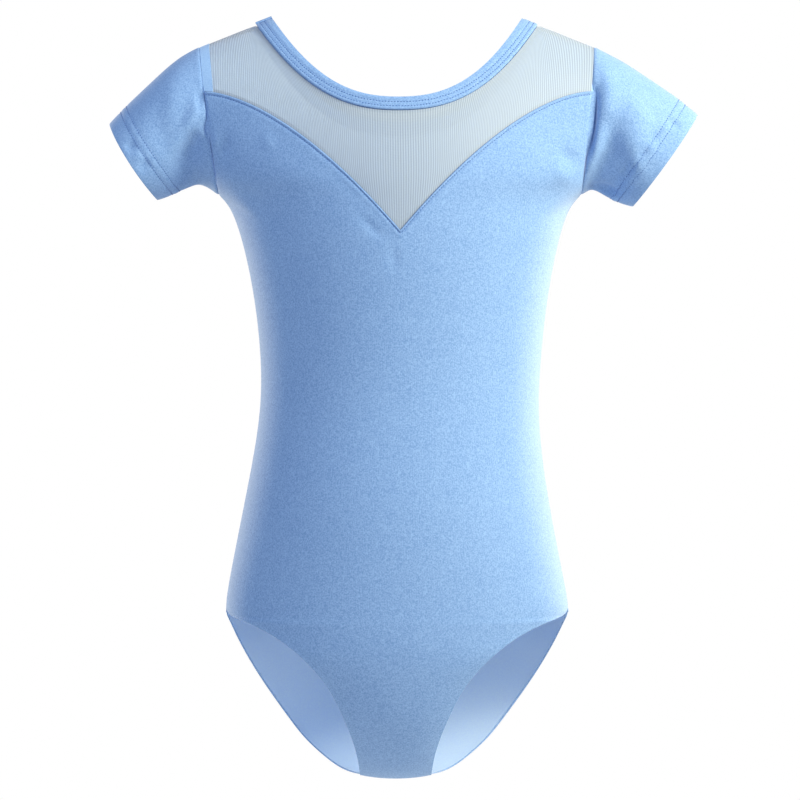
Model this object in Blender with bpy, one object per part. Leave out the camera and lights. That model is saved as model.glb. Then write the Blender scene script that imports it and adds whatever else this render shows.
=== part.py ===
"""Child's short-sleeved dance leotard, filled out as it is worn, with a net yoke under a round neck.

The pieces are the ones a maker cuts and sews: a front, a back, a net yoke, two sleeves and one neck binding.
Front and back are sheets on one rounded torso, worked out row by row from the tables below.
X runs to the wearer's left, Y runs to the back, Z runs up. The origin lies midway between the neck ends of
the two shoulder seams, where the wearer's shoulders hold the garment.
"""

from collections import namedtuple
from math import cos, exp, pi, radians, sin, sqrt

import bmesh
import bpy
import numpy as np

# All sizes are in millimetres, and MM turns them into Blender's metres.
MM = 0.001

# Cloth and seams.
JERSEY_WALL = 1.2
NET_WALL = 1.0
BINDING_WALL = 2.0
BINDING_PROUD = 0.5
NET_SUNK = 0.4
SEAM_GAP = 0.3
SLEEVE_SEAM_GAP = 0.4

# Heights, measured down from the neck ends of the shoulder seams.
UNDERARM_Z = -124.0
HIP_Z = -414.0

# Neck and shoulders.
NECK_HALF_WIDTH = 87.5
FRONT_NECK_DEPTH = 60.0
BACK_NECK_DEPTH = 66.0
NECK_CURVE = 2.45
BINDING_WIDTH = 9.0
SHOULDER_BINDING_WIDTH = 11.0
SHOULDER_SLOPE = 0.42
SHOULDER_EASE = 40.0

# Armholes: where each seam runs, how far it reaches to the front and back, and how the cloth flares into it.
ARMHOLE_LOW_X = 126.7
ARMHOLE_HIGH_X = 137.5
ARMHOLE_HALF_DEPTH = 38.0
CHEST_HALF_WIDTH = 118.5
CHEST_SWAY = 2.1
UNDERARM_FLARE_FALL = 7.0
FLARE_POWER = 6
CHEST_WIDENING_POWER = 1.5
ARMHOLE_BLEND_POWER = 3

# Yoke seam: it leaves the armhole nearly level and dips to a point at the centre front.
YOKE_ARMHOLE_Z = -53.8
YOKE_POINT_Z = -151.4
YOKE_HALF_WIDTH = 133.5
YOKE_CURVE = 1.62

# How round the front and back are over the chest and the shoulders, and how far a row turns at the armhole.
Face = namedtuple("Face", "sign chest_depth roundness neck_depth")
FRONT = Face(sign=-1, chest_depth=76.0, roundness=1.6, neck_depth=FRONT_NECK_DEPTH)
BACK = Face(sign=1, chest_depth=72.0, roundness=2.0, neck_depth=BACK_NECK_DEPTH)
ARMHOLE_TURN = radians(55)
SIDE_TURN = radians(90)
TURNED_BY = 0.5

# Torso sections from the hip to the underarm. sway is how far the section's centre lies off the middle,
# to the wearer's left.
Section = namedtuple("Section", "z half_width front back sway")
TORSO = [
    Section(z=HIP_Z, half_width=120.8, front=72.5, back=86.0, sway=0.1),
    Section(z=-393, half_width=117.3, front=74.0, back=86.0, sway=-0.2),
    Section(z=-365, half_width=111.7, front=75.0, back=82.0, sway=-0.3),
    Section(z=-337, half_width=106.4, front=74.5, back=75.0, sway=-0.1),
    Section(z=-309, half_width=101.5, front=72.0, back=66.0, sway=0.5),
    Section(z=-281, half_width=98.0, front=69.5, back=58.5, sway=1.4),
    Section(z=-260, half_width=97.0, front=68.5, back=55.5, sway=2.1),
    Section(z=-239, half_width=98.0, front=69.0, back=55.5, sway=2.7),
    Section(z=-211, half_width=100.5, front=71.0, back=59.0, sway=2.8),
    Section(z=-183, half_width=104.7, front=73.5, back=64.0, sway=2.7),
    Section(z=-155, half_width=110.7, front=75.5, back=69.0, sway=2.4),
    Section(z=-140, half_width=114.6, front=76.0, back=71.2, sway=2.2),
    Section(z=UNDERARM_Z, half_width=CHEST_HALF_WIDTH, front=76.0, back=72.0, sway=CHEST_SWAY),
]

# Rows from the crotch seam up to the hip. Each has a middle and a leg edge, and turn says how much it rounds.
LegRow = namedtuple("LegRow", "mid_y mid_z edge_x edge_y edge_z turn")
FRONT_LEG = [
    LegRow(mid_y=9.0, mid_z=-532.0, edge_x=25.2, edge_y=9.0, edge_z=-529.6, turn=40),
    LegRow(mid_y=-3.0, mid_z=-532.0, edge_x=25.4, edge_y=0.0, edge_z=-529.4, turn=40),
    LegRow(mid_y=-21.0, mid_z=-523.0, edge_x=26.6, edge_y=-18.0, edge_z=-517.5, turn=40),
    LegRow(mid_y=-36.0, mid_z=-508.5, edge_x=30.1, edge_y=-31.0, edge_z=-503.2, turn=40),
    LegRow(mid_y=-49.5, mid_z=-490.5, edge_x=36.9, edge_y=-43.0, edge_z=-485.6, turn=40),
    LegRow(mid_y=-60.0, mid_z=-469.0, edge_x=47.3, edge_y=-52.0, edge_z=-464.0, turn=42),
    LegRow(mid_y=-67.0, mid_z=-449.0, edge_x=64.8, edge_y=-57.0, edge_z=-444.0, turn=43),
    LegRow(mid_y=-70.3, mid_z=-434.5, edge_x=82.4, edge_y=-51.3, edge_z=-430.5, turn=48),
    LegRow(mid_y=-71.6, mid_z=-424.0, edge_x=100.4, edge_y=-39.6, edge_z=-422.0, turn=59),
    LegRow(mid_y=-72.2, mid_z=-418.8, edge_x=112.0, edge_y=-26.8, edge_z=-418.0, turn=71),
    LegRow(mid_y=-72.5, mid_z=HIP_Z, edge_x=120.8, edge_y=0.0, edge_z=-415.0, turn=90),
]
BACK_LEG = [
    LegRow(mid_y=9.0, mid_z=-532.0, edge_x=25.2, edge_y=9.0, edge_z=-529.6, turn=40),
    LegRow(mid_y=32.0, mid_z=-532.0, edge_x=35.6, edge_y=30.0, edge_z=-529.4, turn=40),
    LegRow(mid_y=52.0, mid_z=-526.0, edge_x=47.4, edge_y=43.0, edge_z=-523.8, turn=42),
    LegRow(mid_y=68.0, mid_z=-512.0, edge_x=64.4, edge_y=52.5, edge_z=-510.0, turn=44),
    LegRow(mid_y=76.5, mid_z=-497.0, edge_x=76.2, edge_y=56.0, edge_z=-495.5, turn=47),
    LegRow(mid_y=81.5, mid_z=-482.5, edge_x=86.5, edge_y=54.5, edge_z=-481.3, turn=51),
    LegRow(mid_y=84.5, mid_z=-467.5, edge_x=96.3, edge_y=49.0, edge_z=-466.6, turn=56),
    LegRow(mid_y=86.0, mid_z=-452.0, edge_x=105.0, edge_y=40.5, edge_z=-451.7, turn=62),
    LegRow(mid_y=86.5, mid_z=-436.5, edge_x=112.5, edge_y=28.5, edge_z=-436.7, turn=71),
    LegRow(mid_y=86.4, mid_z=-425.0, edge_x=117.6, edge_y=19.3, edge_z=-424.5, turn=79),
    LegRow(mid_y=86.0, mid_z=HIP_Z, edge_x=120.8, edge_y=0.0, edge_z=-415.0, turn=90),
]
LEG_SWAY = -1.0
CROTCH_CLEARANCE = 0.0015

# Sleeve rings between the armhole and the cuff: the top and bottom of each ring, its half depth, and how far
# its front and back bow out along the arm.
Ring = namedtuple("Ring", "along top_x top_z low_x low_z half_depth bow")
SLEEVE_RIGHT = [
    Ring(along=0.00, top_x=137.5, top_z=-20.0, low_x=124.6, low_z=-124.0, half_depth=38.0, bow=0.0),
    Ring(along=0.20, top_x=149.6, top_z=-26.0, low_x=135.9, low_z=-116.8, half_depth=38.5, bow=0.5),
    Ring(along=0.45, top_x=165.2, top_z=-38.6, low_x=145.4, low_z=-118.8, half_depth=39.0, bow=1.0),
    Ring(along=0.70, top_x=181.8, top_z=-53.8, low_x=155.6, low_z=-123.2, half_depth=38.7, bow=2.0),
    Ring(along=1.00, top_x=201.2, top_z=-73.8, low_x=167.6, low_z=-127.4, half_depth=38.0, bow=2.0),
]
SLEEVE_LEFT = [
    Ring(along=0.00, top_x=137.5, top_z=-20.5, low_x=128.8, low_z=-124.0, half_depth=38.0, bow=0.0),
    Ring(along=0.20, top_x=153.1, top_z=-27.9, low_x=135.4, low_z=-120.4, half_depth=37.0, bow=0.2),
    Ring(along=0.45, top_x=171.1, top_z=-38.2, low_x=144.1, low_z=-124.2, half_depth=34.5, bow=0.4),
    Ring(along=0.70, top_x=189.4, top_z=-50.4, low_x=152.7, low_z=-128.4, half_depth=32.5, bow=0.7),
    Ring(along=1.00, top_x=210.6, top_z=-67.4, low_x=164.9, low_z=-132.0, half_depth=31.5, bow=1.2),
]

# Large soft folds of the sleeves. around is 0 at the top of the arm and 90 degrees at the front.
Fold = namedtuple("Fold", "along around rise along_spread around_spread")
FOLDS_RIGHT = [
    Fold(along=0.42, around=62, rise=2.5, along_spread=0.20, around_spread=34),
    Fold(along=0.30, around=118, rise=-3.5, along_spread=0.16, around_spread=26),
    Fold(along=0.35, around=262, rise=-2.5, along_spread=0.18, around_spread=26),
]
FOLDS_LEFT = [
    Fold(along=0.24, around=84, rise=4.0, along_spread=0.11, around_spread=40),
    Fold(along=0.58, around=104, rise=-3.0, along_spread=0.14, around_spread=30),
    Fold(along=0.40, around=150, rise=-2.5, along_spread=0.18, around_spread=24),
    Fold(along=0.40, around=268, rise=-2.5, along_spread=0.18, around_spread=26),
]
HEM_WALL = 2.0
HEM_ROWS = 2
FOLDS_FREE_FROM = 0.1
SEAM_FADE_POWER = 3

# Numbers of rows and columns in the meshes.
HALF_COLUMNS = 16
SHOULDER_COLUMNS = 4
LEG_ROWS = 16
TORSO_ROWS = 11
CHEST_ROWS = 7
FRONT_ARMHOLE_ROWS = 7
YOKE_ROWS = 7
BACK_ARMHOLE_ROWS = 12
SLEEVE_ROWS = 9
REGULAR_TOP = 1.7
NECK_STEPS = HALF_COLUMNS - SHOULDER_COLUMNS

# Cloth that one unit of across or up stands for on the chest, near enough to set a seam gap with.
UNIT_OF_CLOTH = 150.0
HALVINGS = 48

# Edges sharper than this stay crisp.
SHARP = radians(50)

# Finishes.
BLUE_JERSEY = (0.33, 0.51, 0.83, 1.0)
BLUE_NET = (0.52, 0.64, 0.78, 1.0)


def smooth_through(knots, values, at):
    """The height at `at` of a smooth curve through the table's values."""
    knots = np.asarray(knots, float)
    values = np.asarray(values, float)
    slopes = np.gradient(values, knots)
    i = int(np.clip(np.searchsorted(knots, at) - 1, 0, len(knots) - 2))
    span = knots[i + 1] - knots[i]
    t = (at - knots[i]) / span
    rise = slopes[i] * (t**3 - 2 * t**2 + t) + slopes[i + 1] * (t**3 - t**2)
    return values[i] * (2 * t**3 - 3 * t**2 + 1) + values[i + 1] * (3 * t**2 - 2 * t**3) + span * rise


def column(table, name):
    return [getattr(row, name) for row in table]


def find(grows, low, high):
    """Where a function that grows from below zero to above it passes zero."""
    for _ in range(HALVINGS):
        middle = (low + high) / 2
        if grows(middle) < 0:
            low = middle
        else:
            high = middle
    return (low + high) / 2


def shoulder_z(x):
    """Height of the shoulder seam's line at a distance x from the centre, eased round under the neck."""
    return -SHOULDER_SLOPE * (sqrt(x * x + SHOULDER_EASE**2) - sqrt(NECK_HALF_WIDTH**2 + SHOULDER_EASE**2))


def flare_share(across):
    """How much of a flare a column takes: nothing in the middle, all of it at the side, and level there."""
    return across**FLARE_POWER * (FLARE_POWER + 1 - FLARE_POWER * across)


def row_point(across, half_width, mid, edge, turn, flare=0.0):
    """A point on one row of a panel, at `across` from -1 to 1, with `mid` and `edge` as (y, z)."""
    angle = abs(across) * turn
    share = (1 - cos(angle)) / (1 - cos(turn))
    x = half_width * sin(angle) / sin(turn) + flare * flare_share(abs(across))
    y, z = np.asarray(mid) + (np.asarray(edge) - np.asarray(mid)) * share
    return np.array([x if across >= 0 else -x, y, z])


def leg_row_point(face, across, up):
    """A point between the crotch seam (up = 0) and the hip (up = 1)."""
    table = FRONT_LEG if face is FRONT else BACK_LEG
    knots = np.linspace(0, 1, len(table))
    value = {}
    for name in LegRow._fields:
        value[name] = smooth_through(knots, column(table, name), up)
    point = row_point(
        across,
        value["edge_x"],
        (value["mid_y"], value["mid_z"]),
        (value["edge_y"], value["edge_z"]),
        radians(value["turn"]),
    )
    point[0] += LEG_SWAY + (TORSO[0].sway - LEG_SWAY) * up
    return point


def torso_row_point(face, across, up):
    """A point between the hip (up = 0) and the underarm (up = 1)."""
    z = HIP_Z + (UNDERARM_Z - HIP_Z) * up
    value = {}
    for name in Section._fields:
        value[name] = smooth_through(column(TORSO, "z"), column(TORSO, name), z)
    depth = value["front"] if face is FRONT else value["back"]
    edge_z = z + (FRONT_LEG[-1].edge_z - HIP_Z) * (1 - up)
    flare = (ARMHOLE_LOW_X - CHEST_HALF_WIDTH) * exp((z - UNDERARM_Z) / UNDERARM_FLARE_FALL)
    point = row_point(across, value["half_width"], (face.sign * depth, z), (0.0, edge_z), SIDE_TURN, flare)
    point[0] += value["sway"]
    return point


def chest_width(rise):
    """Half width of the rounded chest at a share `rise` of the way from the underarm to the shoulder."""
    return CHEST_HALF_WIDTH + (ARMHOLE_HIGH_X - CHEST_HALF_WIDTH) * (1 - (1 - rise) ** CHEST_WIDENING_POWER)


def chest_turn(rise):
    step = min(rise / TURNED_BY, 1.0)
    return SIDE_TURN - (SIDE_TURN - ARMHOLE_TURN) * step * step * (3 - 2 * step)


def chest_x(across, rise):
    turn = chest_turn(rise)
    flare = ARMHOLE_LOW_X + (ARMHOLE_HIGH_X - ARMHOLE_LOW_X) * rise - chest_width(rise)
    return chest_width(rise) * sin(across * turn) / sin(turn) + flare * flare_share(across)


def chest_rise(face, across, up):
    """Share of the height from underarm to shoulder, rounding over the shoulder and round the armhole."""
    middle = sin(up * pi / 2) ** (2 / face.roundness)
    edge = (1 - cos(pi * up)) / 2
    return middle + (edge - middle) * abs(across) ** ARMHOLE_BLEND_POWER


def chest_row_point(face, across, up):
    """A point between the underarm (up = 0) and the shoulder seam (up = 1)."""
    rise = chest_rise(face, across, up)
    turn = chest_turn(rise)
    x = chest_x(abs(across), rise)
    middle_depth = face.chest_depth * max(1 - rise**face.roundness, 0.0) ** (1 / face.roundness)
    edge_depth = 2 * ARMHOLE_HALF_DEPTH * sqrt(max(rise * (1 - rise), 0.0))
    share = (cos(abs(across) * turn) - cos(turn)) / (1 - cos(turn))
    y = face.sign * (edge_depth + (middle_depth - edge_depth) * share)
    z = UNDERARM_Z + rise * (shoulder_z(x) - UNDERARM_Z)
    return np.array([(x if across >= 0 else -x) + CHEST_SWAY * (1 - rise), y, z])


def surface(face, across, up):
    """A point of the front or back. up is 0 at the crotch, 1 hip, 2 underarm and 3 shoulder."""
    if up <= 1:
        return leg_row_point(face, across, up)
    if up <= 2:
        return torso_row_point(face, across, up - 1)
    return chest_row_point(face, across, min(up - 2, 1.0))


def lifted(face, across, up, height):
    """A point of the torso moved out from the cloth by `height`."""
    step = 1e-3
    here = surface(face, across, up)
    if height == 0:
        return here
    side = surface(face, min(across + step, 1), up) - surface(face, max(across - step, -1), up)
    rise = surface(face, across, min(up + step, 3)) - surface(face, across, max(up - step, 0))
    outward = np.cross(side, rise) * -face.sign
    return here + outward / np.linalg.norm(outward) * height


def place_on_chest(face, x, z):
    """The (across, up) of the point of the chest seen at x and z from the front."""
    rise = min((z - UNDERARM_Z) / (shoulder_z(x) - UNDERARM_Z), 1.0)
    across = find(lambda a: chest_x(a, rise) - abs(x), 0.0, 1.0)
    up = find(lambda t: chest_rise(face, across, t) - rise, 0.0, 1.0)
    return np.array([across if x >= 0 else -across, 2 + up])


def neck_place(face, turn, offset):
    """(across, up) `offset` outside the neck's edge; turn is 0 at the centre, 90 degrees at the shoulder."""
    half_width = NECK_HALF_WIDTH + offset * SHOULDER_BINDING_WIDTH / BINDING_WIDTH
    middle = -face.neck_depth - offset
    share = min(abs(sin(turn)), 1 - 1e-9)
    z = middle + (shoulder_z(half_width) - middle) * share**NECK_CURVE
    x = half_width * share
    return place_on_chest(face, x if turn >= 0 else -x, z)


def yoke_seam_up(across, lift):
    """How far up a column of the front the yoke seam crosses it, `lift` above the seam."""

    def above(up):
        x, _, z = surface(FRONT, across, up) - surface(FRONT, 0, up) * np.array([1, 0, 0])
        share = max(1 - abs(x) / YOKE_HALF_WIDTH, 0.0)
        return z - (YOKE_ARMHOLE_Z + (YOKE_POINT_Z - YOKE_ARMHOLE_Z) * share**YOKE_CURVE) - lift

    return find(above, REGULAR_TOP, 3.0)


def top_edge(face):
    """(across, up) of each column along the shoulder seams and round the neck, from the right to the left."""
    shoulder_up = 3 - SEAM_GAP / UNIT_OF_CLOTH
    corner = neck_place(face, pi / 2, BINDING_WIDTH + SEAM_GAP)[0]
    edge = []
    for i in range(-HALF_COLUMNS, HALF_COLUMNS + 1):
        beyond = abs(i) - NECK_STEPS
        if beyond >= 0:
            across = corner + (1 - corner) * beyond / SHOULDER_COLUMNS
            edge.append(np.array([across if i > 0 else -across, shoulder_up]))
        else:
            turn = pi / 2 * i / NECK_STEPS
            edge.append(neck_place(face, turn, BINDING_WIDTH + SEAM_GAP))
    return edge


def columns_of():
    """Even steps across a panel, kept half a seam gap inside its side edges."""
    share = 1.0 - SEAM_GAP / 2 / UNIT_OF_CLOTH
    return [share * i / HALF_COLUMNS for i in range(-HALF_COLUMNS, HALF_COLUMNS + 1)]


def regular_rows():
    """Row heights from the crotch seam up to where the rows begin to follow the panel's top edge."""
    legs = [max(i / LEG_ROWS, CROTCH_CLEARANCE) for i in range(LEG_ROWS)]
    return legs + [1 + (REGULAR_TOP - 1) * i / TORSO_ROWS for i in range(TORSO_ROWS)]


def fanned_rows(start, end, armhole_rows):
    """Places up one column, with a row exactly at the underarm on the outer columns."""
    outer_end = end[0][1]
    underarm = (2 - REGULAR_TOP) / (outer_end - REGULAR_TOP)
    shares = [underarm * sin(pi / 2 * i / CHEST_ROWS) for i in range(CHEST_ROWS)]
    shares += [underarm + (1 - underarm) * i / armhole_rows for i in range(armhole_rows + 1)]
    return [[a + (b - a) * share for a, b in zip(start, end)] for share in shares]


def wall_object(name, outer, inner, material, closed=False):
    """One cloth piece: a grid of points on its outer side, one on its inner side, and rims between them."""
    rows, count = len(outer), len(outer[0])
    points = [point * MM for grid in (outer, inner) for row in grid for point in row]
    under = rows * count
    last = count if closed else count - 1
    faces = []
    for r in range(rows - 1):
        for i in range(last):
            j = (i + 1) % count
            a, b, c, d = r * count + i, r * count + j, (r + 1) * count + j, (r + 1) * count + i
            faces.append((a, b, c, d))
            faces.append((d + under, c + under, b + under, a + under))
    low = list(range(count))
    high = [(rows - 1) * count + i for i in range(count)]
    for i in range(last):
        j = (i + 1) % count
        faces.append((low[j], low[i], low[i] + under, low[j] + under))
        faces.append((high[i], high[j], high[j] + under, high[i] + under))
    if not closed:
        for r in range(rows - 1):
            left, left_up = r * count, (r + 1) * count
            right, right_up = left + count - 1, left_up + count - 1
            faces.append((left, left_up, left_up + under, left + under))
            faces.append((right_up, right, right + under, right_up + under))
    mesh = bpy.data.meshes.new(name)
    mesh.from_pydata(points, [], faces)
    bm = bmesh.new()
    bm.from_mesh(mesh)
    bmesh.ops.recalc_face_normals(bm, faces=bm.faces)
    bm.to_mesh(mesh)
    bm.free()
    mesh.materials.append(material)
    mesh.shade_smooth()
    mesh.set_sharp_from_angle(angle=SHARP)
    piece = bpy.data.objects.new(name, mesh)
    bpy.context.scene.collection.objects.link(piece)
    return piece


def panel_object(name, face, places, wall, material, sunk=0.0):
    """A panel of the torso from the (across, up) of its points."""
    outer = [[lifted(face, a, up, -sunk) for a, up in row] for row in places]
    inner = [[lifted(face, a, up, -sunk - wall) for a, up in row] for row in places]
    return wall_object(name, outer, inner, material)


def finish(name, colour, roughness):
    material = bpy.data.materials.new(name)
    material.use_nodes = True
    shader = material.node_tree.nodes["Principled BSDF"]
    shader.inputs["Base Color"].default_value = colour
    shader.inputs["Roughness"].default_value = roughness
    shader.inputs["Metallic"].default_value = 0.0
    return material


def make_front(material):
    """Front panel, from the crotch seam to the pointed yoke seam."""
    across = columns_of()
    start = [np.array([a, REGULAR_TOP]) for a in across]
    end = [np.array([a, yoke_seam_up(a, -SEAM_GAP / 2)]) for a in across]
    places = [[np.array([a, up]) for a in across] for up in regular_rows()]
    places += fanned_rows(start, end, FRONT_ARMHOLE_ROWS)
    return panel_object("body_front", FRONT, places, JERSEY_WALL, material)


def make_back(material):
    """Back panel, one piece from the crotch seam to the shoulders and the back of the neck."""
    across = columns_of()
    start = [np.array([a, REGULAR_TOP]) for a in across]
    places = [[np.array([a, up]) for a in across] for up in regular_rows()]
    places += fanned_rows(start, top_edge(BACK), BACK_ARMHOLE_ROWS)
    return panel_object("body_back", BACK, places, JERSEY_WALL, material)


def make_yoke(material):
    """Net yoke between the pointed seam, the armholes, the shoulder seams and the neck binding."""
    across = columns_of()
    low = [np.array([a, yoke_seam_up(a, SEAM_GAP / 2)]) for a in across]
    high = top_edge(FRONT)
    shares = [i / YOKE_ROWS for i in range(YOKE_ROWS + 1)]
    places = [[a + (b - a) * share for a, b in zip(low, high)] for share in shares]
    return panel_object("yoke_front", FRONT, places, NET_WALL, material, NET_SUNK)


def make_binding(material):
    """Neck binding, one closed band round the front and back of the neck."""
    outer, inner = [], []
    for offset in (BINDING_WIDTH, BINDING_WIDTH / 2, 0.0):
        places = []
        for face, start in ((FRONT, -pi / 2), (BACK, pi / 2)):
            for i in range(2 * NECK_STEPS):
                turn = start * (1 - i / NECK_STEPS)
                across, up = neck_place(face, turn, offset)
                places.append((face, across, min(up, 3 - 1e-6)))
        outer.append([lifted(*place, BINDING_PROUD) for place in places])
        inner.append([lifted(*place, BINDING_PROUD - BINDING_WALL) for place in places])
    return wall_object("neck_binding", outer, inner, material, closed=True)


def armhole_ups(yoke_start):
    """Where the panels' rows meet the armhole seam, from the underarm up the front and down the back."""
    front = [2 + (yoke_start - 2) * i / FRONT_ARMHOLE_ROWS for i in range(FRONT_ARMHOLE_ROWS)]
    yoke = [yoke_start + (3 - yoke_start) * i / YOKE_ROWS for i in range(YOKE_ROWS)]
    back = [3 - i / BACK_ARMHOLE_ROWS for i in range(BACK_ARMHOLE_ROWS)]
    return [(FRONT, up) for up in front + yoke] + [(BACK, up) for up in back]


def ring_point(table, along, face, up):
    """A point round the sleeve at a share `along` of its length, opposite the armhole's point at `up`."""
    value = {}
    for name in Ring._fields:
        value[name] = smooth_through(column(table, "along"), column(table, name), along)
    angle = pi * (3 - up)
    top = np.array([value["top_x"], 0.0, value["top_z"]])
    low = np.array([value["low_x"], 0.0, value["low_z"]])
    depth = np.array([0.0, face.sign * value["half_depth"], 0.0])
    outward = np.array([top[2] - low[2], 0.0, low[0] - top[0]]) / np.linalg.norm(top - low)
    middle = (top + low) / 2 + outward * value["bow"] * sin(angle) ** 2
    return middle + (top - low) / 2 * cos(angle) + depth * sin(angle)


def fold_rise(folds, along, around):
    """How far the folds lift the cloth at a place on the sleeve; around is in degrees."""
    rise = 0.0
    for fold in folds:
        turn = (around - fold.around + 180) % 360 - 180
        away = ((along - fold.along) / fold.along_spread) ** 2 + (turn / fold.around_spread) ** 2
        rise += fold.rise * exp(-away)
    return rise * min(along / FOLDS_FREE_FROM, 1.0)


def make_sleeve(name, table, folds, side, material):
    """Short set-in sleeve: a tube from the armhole seam to the cuff, with a turned hem."""
    ups = armhole_ups(yoke_seam_up(side, 0.0))
    mirror = np.array([side, 1, 1])
    seam = [surface(face, side, up) * mirror + np.array([SLEEVE_SEAM_GAP, 0, 0]) for face, up in ups]
    first = [ring_point(table, 0.0, face, up) for face, up in ups]
    rings = []
    for i in range(SLEEVE_ROWS + 1):
        along = i / SLEEVE_ROWS
        fade = (1 - along) ** SEAM_FADE_POWER
        ring = []
        for (face, up), seam_point, first_point in zip(ups, seam, first):
            ring.append(ring_point(table, along, face, up) + (seam_point - first_point) * fade)
        rings.append(ring)
    rings = np.array(rings)
    around = np.roll(rings, -1, axis=1) - np.roll(rings, 1, axis=1)
    outward = np.cross(np.gradient(rings, axis=0), around)
    outward /= np.linalg.norm(outward, axis=2, keepdims=True)
    outer, inner = rings.copy(), rings.copy()
    for i in range(SLEEVE_ROWS + 1):
        wall = HEM_WALL if i > SLEEVE_ROWS - HEM_ROWS else JERSEY_WALL
        for j, (face, up) in enumerate(ups):
            degrees_round = 180 * (3 - up) if face is FRONT else 180 * (up - 1)
            rise = fold_rise(folds, i / SLEEVE_ROWS, degrees_round)
            outer[i, j] += outward[i, j] * rise
            inner[i, j] += outward[i, j] * (rise - wall)
    return wall_object(name, outer * mirror, inner * mirror, material, closed=True)


def main():
    for old in list(bpy.data.objects):
        bpy.data.objects.remove(old)
    jersey = finish("cotton_jersey", BLUE_JERSEY, 0.85)
    net = finish("stretch_net", BLUE_NET, 0.7)
    pieces = [
        make_front(jersey),
        make_back(jersey),
        make_yoke(net),
        make_sleeve("sleeve_right", SLEEVE_RIGHT, FOLDS_RIGHT, -1, jersey),
        make_sleeve("sleeve_left", SLEEVE_LEFT, FOLDS_LEFT, 1, jersey),
        make_binding(jersey),
    ]
    garment = bpy.data.objects.new("leotard", None)
    bpy.context.scene.collection.objects.link(garment)
    for piece in pieces:
        piece.parent = garment


main()
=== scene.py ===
# %% [markdown]
# A child's short-sleeved dance leotard, made of light blue cotton jersey with a net yoke.
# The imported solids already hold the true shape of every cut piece, so nothing is drawn a second time.
# First come the camera and the finishes. Then the outer wall is peeled off each solid and smoothed, creases
# are pressed in, and stitches, seam allowances and a thin cloth wall are added. A plain studio comes last.

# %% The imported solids
import math

import bpy
import numpy as np
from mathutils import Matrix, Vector


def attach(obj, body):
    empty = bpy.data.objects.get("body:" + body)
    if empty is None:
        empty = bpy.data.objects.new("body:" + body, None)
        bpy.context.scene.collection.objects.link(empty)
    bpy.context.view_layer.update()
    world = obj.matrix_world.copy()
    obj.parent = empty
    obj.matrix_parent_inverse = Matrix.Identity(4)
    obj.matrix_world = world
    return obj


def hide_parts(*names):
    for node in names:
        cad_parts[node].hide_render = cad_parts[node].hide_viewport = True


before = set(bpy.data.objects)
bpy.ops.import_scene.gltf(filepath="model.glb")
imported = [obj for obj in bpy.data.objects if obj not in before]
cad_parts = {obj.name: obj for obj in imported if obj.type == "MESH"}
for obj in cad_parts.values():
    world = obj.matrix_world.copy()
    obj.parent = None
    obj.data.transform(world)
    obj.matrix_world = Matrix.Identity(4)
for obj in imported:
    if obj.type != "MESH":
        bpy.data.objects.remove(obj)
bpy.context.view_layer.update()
MM = 0.001
print("solids:", sorted(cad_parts))

# %% [markdown]
# The photograph looks straight at the chest from the height of the waist, through a long lens.
# A camera 2.6 m away with a 167 mm lens on a 36 mm sensor takes in 560 mm of width, as the photograph does.
# The camera comes first, because creases are later placed where it sees them on the cloth.

# %% Camera
EYE = Vector((2.1, -2600.0, -267.0)) * MM
VIEW_WIDTH = 560.0 * MM
SENSOR = 36.0
camera_data = bpy.data.cameras.new("camera")
camera_data.sensor_width = SENSOR
camera_data.lens = SENSOR * -EYE.y / VIEW_WIDTH
camera = bpy.data.objects.new("camera", camera_data)
camera.location = EYE
camera.rotation_euler = (math.pi / 2, 0.0, 0.0)
bpy.context.scene.collection.objects.link(camera)
bpy.context.scene.camera = camera
print("lens, mm:", round(camera_data.lens, 1))

# %% [markdown]
# Finishes are built from shader nodes. Colours are written as the hex values that a screen shows,
# and one function turns them into the linear values that light is worked out with.
# One more function adds a node, sets it and links it, so that each finish reads as a short list.

# %% Colour and node helpers
def linear(hex_colour):
    """A screen colour such as 8fb0df as linear red, green, blue and alpha."""
    shown = [int(hex_colour[i : i + 2], 16) / 255 for i in (0, 2, 4)]
    return [v / 12.92 if v <= 0.04045 else ((v + 0.055) / 1.055) ** 2.4 for v in shown] + [1.0]


def add(tree, kind, links=(), **settings):
    """Adds a node; links are (input, socket to read), and a setting names an input or a property."""
    node = tree.nodes.new("ShaderNode" + kind)
    for name, value in settings.items():
        if name in node.bl_rna.properties:
            setattr(node, name, value)
        else:
            node.inputs[name.replace("_", " ")].default_value = value
    for name, source in links:
        tree.links.new(source, node.inputs[name])
    return node


def new_finish(name):
    """An empty material, its node tree, its surface shader and the coordinates of the piece."""
    material = bpy.data.materials.new(name)
    material.use_nodes = True
    tree = material.node_tree
    return material, tree, tree.nodes["Principled BSDF"], add(tree, "TexCoord")


# %% [markdown]
# Cotton jersey with a little elastane is a fine weft knit. Seen close, it has columns of loops about half a
# millimetre wide, which are too fine for this picture, so they are drawn 1.4 mm wide and kept faint.
# The eye mostly sees a soft mottle of slightly lighter and darker yarn, and a faint bloom where the cloth
# turns away, because loose fibre ends catch the light. That bloom is the sheen of the shader.
# The wrong side shows the backs of the loops and is paler, so it gets a finish of its own. Most of that
# paleness is painted light: it is coloured far paler than the knit's own back, so that the shaded inside
# of the garment looks lit. A third finish is for the seam allowances at the armholes, which lie against the
# net. It is painted light too: the same jersey coloured lighter than its right side, to offset the shade
# that the allowances lie in.

# %% Cotton jersey, right side and wrong side
BANDS = math.pi / 10
WALE = 1.4 * MM
YARN_SPOT = 1.0 * MM
CLOUD = 25.0 * MM
CLOUDS_SHOW = 0.08
WALES_SHOW = 0.35
LOOP_HEIGHT = 0.3 * MM
JERSEY_DARK = "6088c5"
JERSEY_LIGHT = "7ea4dc"
JERSEY_BLOOM = "e6f4ff"
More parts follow.
